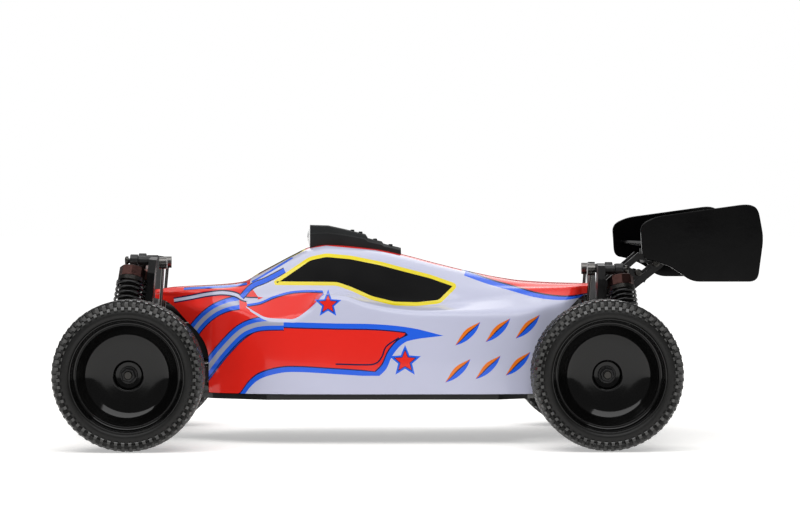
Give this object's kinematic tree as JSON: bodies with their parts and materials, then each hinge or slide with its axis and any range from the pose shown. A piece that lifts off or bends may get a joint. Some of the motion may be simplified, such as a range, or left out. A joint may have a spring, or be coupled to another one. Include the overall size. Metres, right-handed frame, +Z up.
{
  "type": "rc buggy",
  "caption": "Four-wheel-drive electric off-road buggy with knobbly tyres, oil shocks on towers, painted cabin shell with roof scoop and a rear wing.",
  "frame": {"origin": "on the ground, under the middle of the overall length and width", "axes": "+Z up; the nose points along -X, so the car's left side is at -Y and its right side at +Y"},
  "size_m": [0.4144, 0.248, 0.143],
  "materials": {
    "painted_polycarbonate": "thin clear shell painted in red, pale lavender and blue, gloss",
    "wing_plastic": "black, gloss",
    "rim_plastic": "black, moulded gloss",
    "tyre_rubber": "black rubber with small knobs, satin",
    "spring_steel": "black coated wire",
    "polished_steel": "ground and polished",
    "anodised_metal": "mauve-brown anodised, satin",
    "motor_can": "plated, satin",
    "battery_wrap": "dark shrink wrap",
    "controller_case": "black, fine grain",
    "frame_plastic": "black glass-filled nylon, satin"
  },
  "bodies": {
    "chassis": {"chassis_plate": "frame_plastic", "front_gear_case": "frame_plastic", "rear_gear_case": "frame_plastic", "front_shock_tower": "frame_plastic", "rear_shock_tower": "frame_plastic", "tower_brace_rods": "polished_steel", "arm_hinge_pins": "polished_steel", "steering_servo": "frame_plastic", "motor_plate": "anodised_metal", "drive_motor": "motor_can", "battery_pack": "battery_wrap", "speed_controller": "controller_case", "wing_mount": "frame_plastic", "rear_wing": "wing_plastic"},
    "shell": {"body_shell": "painted_polycarbonate", "roof_scoop": "frame_plastic"},
    "centre_shaft": {"centre_shaft": "polished_steel"},
    "motor_pinion": {"motor_pinion": "motor_can"},
    "steering_rack": {"steering_rack": "frame_plastic"},
    "servo_horn": {"servo_horn": "frame_plastic"},
    "front_left_arm": {"front_left_lower_arm": "frame_plastic"},
    "front_left_link": {"front_left_camber_link": "polished_steel"},
    "front_left_bracket": {"front_left_hub_bracket": "frame_plastic"},
    "front_left_knuckle": {"front_left_knuckle": "frame_plastic"},
    "front_left_tie_rod": {"front_left_tie_rod": "polished_steel"},
    "front_left_wheel": {"front_left_tyre": "tyre_rubber", "front_left_rim": "rim_plastic"},
    "front_left_drive_shaft": {"front_left_drive_shaft": "polished_steel"},
    "front_left_shock_body": {"front_left_shock_body": "anodised_metal", "front_left_shock_spring": "spring_steel"},
    "front_left_shock_shaft": {"front_left_shock_shaft": "polished_steel"},
    "front_right_arm": {"front_right_lower_arm": "frame_plastic"},
    "front_right_link": {"front_right_camber_link": "polished_steel"},
    "front_right_bracket": {"front_right_hub_bracket": "frame_plastic"},
    "front_right_knuckle": {"front_right_knuckle": "frame_plastic"},
    "front_right_tie_rod": {"front_right_tie_rod": "polished_steel"},
    "front_right_wheel": {"front_right_tyre": "tyre_rubber", "front_right_rim": "rim_plastic"},
    "front_right_drive_shaft": {"front_right_drive_shaft": "polished_steel"},
    "front_right_shock_body": {"front_right_shock_body": "anodised_metal", "front_right_shock_spring": "spring_steel"},
    "front_right_shock_shaft": {"front_right_shock_shaft": "polished_steel"},
    "rear_left_arm": {"rear_left_lower_arm": "frame_plastic"},
    "rear_left_link": {"rear_left_camber_link": "polished_steel"},
    "rear_left_hub": {"rear_left_hub": "frame_plastic"},
    "rear_left_wheel": {"rear_left_tyre": "tyre_rubber", "rear_left_rim": "rim_plastic"},
    "rear_left_drive_shaft": {"rear_left_drive_shaft": "polished_steel"},
    "rear_left_shock_body": {"rear_left_shock_body": "anodised_metal", "rear_left_shock_spring": "spring_steel"},
    "rear_left_shock_shaft": {"rear_left_shock_shaft": "polished_steel"},
    "rear_right_arm": {"rear_right_lower_arm": "frame_plastic"},
    "rear_right_link": {"rear_right_camber_link": "polished_steel"},
    "rear_right_hub": {"rear_right_hub": "frame_plastic"},
    "rear_right_wheel": {"rear_right_tyre": "tyre_rubber", "rear_right_rim": "rim_plastic"},
    "rear_right_drive_shaft": {"rear_right_drive_shaft": "polished_steel"},
    "rear_right_shock_body": {"rear_right_shock_body": "anodised_metal", "rear_right_shock_spring": "spring_steel"},
    "rear_right_shock_shaft": {"rear_right_shock_shaft": "polished_steel"}
  },
  "joints": [
    {"name": "shell_lift", "type": "slide", "parent": "chassis", "child": "shell", "axis": [0, 0, 1], "range_m": [0, 0.06]},
    {"name": "centre_shaft_spin", "type": "hinge", "parent": "chassis", "child": "centre_shaft", "pos_m": [-0.025, 0, 0.046], "axis": [1, 0, 0], "continuous": true},
    {"name": "motor_pinion_spin", "type": "hinge", "parent": "chassis", "child": "motor_pinion", "pos_m": [0.062, 0.02386, 0.049], "axis": [1, 0, 0], "continuous": true},
    {"name": "rack_slide", "type": "slide", "parent": "chassis", "child": "steering_rack", "axis": [0, 1, 0], "range_m": [-0.0062, 0.0062]},
    {"name": "servo_horn_turn", "type": "hinge", "parent": "chassis", "child": "servo_horn", "pos_m": [-0.142, 0.0137, 0.06], "axis": [1, 0, 0], "range_deg": [-24, 24]},
    {"name": "front_left_arm_swing", "type": "hinge", "parent": "chassis", "child": "front_left_arm", "pos_m": [-0.1635, -0.024, 0.033], "axis": [-1, 0, 0], "range_deg": [-8, 12], "stiffness_Nm_per_rad": 2.2, "springref_deg": -5.91},
    {"name": "front_left_link_swing", "type": "hinge", "parent": "chassis", "child": "front_left_link", "pos_m": [-0.152, -0.028, 0.064], "axis": [-1, 0, 0], "range_deg": [-8, 12]},
    {"name": "front_left_upright", "type": "hinge", "parent": "front_left_arm", "child": "front_left_bracket", "pos_m": [-0.1635, -0.075, 0.033], "axis": [-1, 0, 0], "range_deg": [-12, 8]},
    {"name": "front_left_steer", "type": "hinge", "parent": "front_left_bracket", "child": "front_left_knuckle", "pos_m": [-0.1635, -0.085, 0.04375], "axis": [0, 0, 1], "range_deg": [-17, 17]},
    {"name": "front_left_tie_rod_slide", "type": "slide", "parent": "front_left_arm", "child": "front_left_tie_rod", "axis": [0, 1, 0], "range_m": [-0.0062, 0.0062]},
    {"name": "front_left_wheel_spin", "type": "hinge", "parent": "front_left_knuckle", "child": "front_left_wheel", "pos_m": [-0.1635, -0.104, 0.04375], "axis": [0, 1, 0], "continuous": true},
    {"name": "front_left_shaft_spin", "type": "hinge", "parent": "front_left_arm", "child": "front_left_drive_shaft", "pos_m": [-0.1635, -0.0545, 0.04375], "axis": [0, 1, 0], "continuous": true},
    {"name": "front_left_shock_turn", "type": "hinge", "parent": "chassis", "child": "front_left_shock_body", "pos_m": [-0.1657, -0.034, 0.109], "axis": [-1, 0, 0], "range_deg": [-0.89, 1.34]},
    {"name": "front_left_shock_stroke", "type": "slide", "parent": "front_left_shock_body", "child": "front_left_shock_shaft", "axis": [0.1333, 0.3208, 0.9377], "range_m": [-0.00494, 0.00741], "deforming": ["front_left_shock_spring"]},
    {"name": "front_right_arm_swing", "type": "hinge", "parent": "chassis", "child": "front_right_arm", "pos_m": [-0.1635, 0.024, 0.033], "axis": [1, 0, 0], "range_deg": [-8, 12], "stiffness_Nm_per_rad": 2.2, "springref_deg": -5.91},
    {"name": "front_right_link_swing", "type": "hinge", "parent": "chassis", "child": "front_right_link", "pos_m": [-0.152, 0.028, 0.064], "axis": [1, 0, 0], "range_deg": [-8, 12]},
    {"name": "front_right_upright", "type": "hinge", "parent": "front_right_arm", "child": "front_right_bracket", "pos_m": [-0.1635, 0.075, 0.033], "axis": [1, 0, 0], "range_deg": [-12, 8]},
    {"name": "front_right_steer", "type": "hinge", "parent": "front_right_bracket", "child": "front_right_knuckle", "pos_m": [-0.1635, 0.085, 0.04375], "axis": [0, 0, 1], "range_deg": [-17, 17]},
    {"name": "front_right_tie_rod_slide", "type": "slide", "parent": "front_right_arm", "child": "front_right_tie_rod", "axis": [0, 1, 0], "range_m": [-0.0062, 0.0062]},
    {"name": "front_right_wheel_spin", "type": "hinge", "parent": "front_right_knuckle", "child": "front_right_wheel", "pos_m": [-0.1635, 0.104, 0.04375], "axis": [0, 1, 0], "continuous": true},
    {"name": "front_right_shaft_spin", "type": "hinge", "parent": "front_right_arm", "child": "front_right_drive_shaft", "pos_m": [-0.1635, 0.0545, 0.04375], "axis": [0, 1, 0], "continuous": true},
    {"name": "front_right_shock_turn", "type": "hinge", "parent": "chassis", "child": "front_right_shock_body", "pos_m": [-0.1657, 0.034, 0.109], "axis": [1, 0, 0], "range_deg": [-0.89, 1.34]},
    {"name": "front_right_shock_stroke", "type": "slide", "parent": "front_right_shock_body", "child": "front_right_shock_shaft", "axis": [0.1333, -0.3208, 0.9377], "range_m": [-0.00494, 0.00741], "deforming": ["front_right_shock_spring"]},
    {"name": "rear_left_arm_swing", "type": "hinge", "parent": "chassis", "child": "rear_left_arm", "pos_m": [0.1135, -0.024, 0.033], "axis": [-1, 0, 0], "range_deg": [-8, 12], "stiffness_Nm_per_rad": 2.2, "springref_deg": -8.3},
    {"name": "rear_left_link_swing", "type": "hinge", "parent": "chassis", "child": "rear_left_link", "pos_m": [0.1065, -0.028, 0.064], "axis": [-1, 0, 0], "range_deg": [-8, 12]},
    {"name": "rear_left_upright", "type": "hinge", "parent": "rear_left_arm", "child": "rear_left_hub", "pos_m": [0.1135, -0.075, 0.033], "axis": [-1, 0, 0], "range_deg": [-12, 8]},
    {"name": "rear_left_wheel_spin", "type": "hinge", "parent": "rear_left_hub", "child": "rear_left_wheel", "pos_m": [0.1135, -0.104, 0.04375], "axis": [0, 1, 0], "continuous": true},
    {"name": "rear_left_shaft_spin", "type": "hinge", "parent": "rear_left_arm", "child": "rear_left_drive_shaft", "pos_m": [0.1135, -0.0545, 0.04375], "axis": [0, 1, 0], "continuous": true},
    {"name": "rear_left_shock_turn", "type": "hinge", "parent": "chassis", "child": "rear_left_shock_body", "pos_m": [0.1274, -0.034, 0.1035], "axis": [-1, 0, 0], "range_deg": [-1.14, 1.71]},
    {"name": "rear_left_shock_stroke", "type": "slide", "parent": "rear_left_shock_body", "child": "rear_left_shock_shaft", "axis": [-0.1006, 0.3443, 0.9335], "range_m": [-0.00493, 0.00738], "deforming": ["rear_left_shock_spring"]},
    {"name": "rear_right_arm_swing", "type": "hinge", "parent": "chassis", "child": "rear_right_arm", "pos_m": [0.1135, 0.024, 0.033], "axis": [1, 0, 0], "range_deg": [-8, 12], "stiffness_Nm_per_rad": 2.2, "springref_deg": -8.3},
    {"name": "rear_right_link_swing", "type": "hinge", "parent": "chassis", "child": "rear_right_link", "pos_m": [0.1065, 0.028, 0.064], "axis": [1, 0, 0], "range_deg": [-8, 12]},
    {"name": "rear_right_upright", "type": "hinge", "parent": "rear_right_arm", "child": "rear_right_hub", "pos_m": [0.1135, 0.075, 0.033], "axis": [1, 0, 0], "range_deg": [-12, 8]},
    {"name": "rear_right_wheel_spin", "type": "hinge", "parent": "rear_right_hub", "child": "rear_right_wheel", "pos_m": [0.1135, 0.104, 0.04375], "axis": [0, 1, 0], "continuous": true},
    {"name": "rear_right_shaft_spin", "type": "hinge", "parent": "rear_right_arm", "child": "rear_right_drive_shaft", "pos_m": [0.1135, 0.0545, 0.04375], "axis": [0, 1, 0], "continuous": true},
    {"name": "rear_right_shock_turn", "type": "hinge", "parent": "chassis", "child": "rear_right_shock_body", "pos_m": [0.1274, 0.034, 0.1035], "axis": [1, 0, 0], "range_deg": [-1.14, 1.71]},
    {"name": "rear_right_shock_stroke", "type": "slide", "parent": "rear_right_shock_body", "child": "rear_right_shock_shaft", "axis": [-0.1006, -0.3443, 0.9335], "range_m": [-0.00493, 0.00738], "deforming": ["rear_right_shock_spring"]}
  ],
  "couplings": [
    {"joint": "motor_pinion_spin", "follows": "centre_shaft_spin", "ratio": -3},
    {"joint": "servo_horn_turn", "follows": "rack_slide", "rad_per_m": 66.667},
    {"joint": "front_left_link_swing", "follows": "front_left_arm_swing", "ratio": 1},
    {"joint": "front_left_upright", "follows": "front_left_arm_swing", "ratio": -1},
    {"joint": "front_left_steer", "follows": "rack_slide", "rad_per_m": 46.5},
    {"joint": "front_left_tie_rod_slide", "follows": "rack_slide", "ratio": 1},
    {"joint": "front_left_shaft_spin", "follows": "front_left_wheel_spin", "ratio": 1},
    {"joint": "front_left_shock_turn", "follows": "front_left_arm_swing", "ratio": 0.10839},
    {"joint": "front_left_shock_stroke", "follows": "front_left_arm_swing", "m_per_rad": 0.034636},
    {"joint": "front_right_link_swing", "follows": "front_right_arm_swing", "ratio": 1},
    {"joint": "front_right_upright", "follows": "front_right_arm_swing", "ratio": -1},
    {"joint": "front_right_steer", "follows": "rack_slide", "rad_per_m": 46.5},
    {"joint": "front_right_tie_rod_slide", "follows": "rack_slide", "ratio": 1},
    {"joint": "front_right_shaft_spin", "follows": "front_right_wheel_spin", "ratio": 1},
    {"joint": "front_right_shock_turn", "follows": "front_right_arm_swing", "ratio": 0.10839},
    {"joint": "front_right_shock_stroke", "follows": "front_right_arm_swing", "m_per_rad": 0.034636},
    {"joint": "rear_left_link_swing", "follows": "rear_left_arm_swing", "ratio": 1},
    {"joint": "rear_left_upright", "follows": "rear_left_arm_swing", "ratio": -1},
    {"joint": "rear_left_shaft_spin", "follows": "rear_left_wheel_spin", "ratio": 1},
    {"joint": "rear_left_shock_turn", "follows": "rear_left_arm_swing", "ratio": 0.13899},
    {"joint": "rear_left_shock_stroke", "follows": "rear_left_arm_swing", "m_per_rad": 0.034518},
    {"joint": "rear_right_link_swing", "follows": "rear_right_arm_swing", "ratio": 1},
    {"joint": "rear_right_upright", "follows": "rear_right_arm_swing", "ratio": -1},
    {"joint": "rear_right_shaft_spin", "follows": "rear_right_wheel_spin", "ratio": 1},
    {"joint": "rear_right_shock_turn", "follows": "rear_right_arm_swing", "ratio": 0.13899},
    {"joint": "rear_right_shock_stroke", "follows": "rear_right_arm_swing", "m_per_rad": 0.034518}
  ]
}
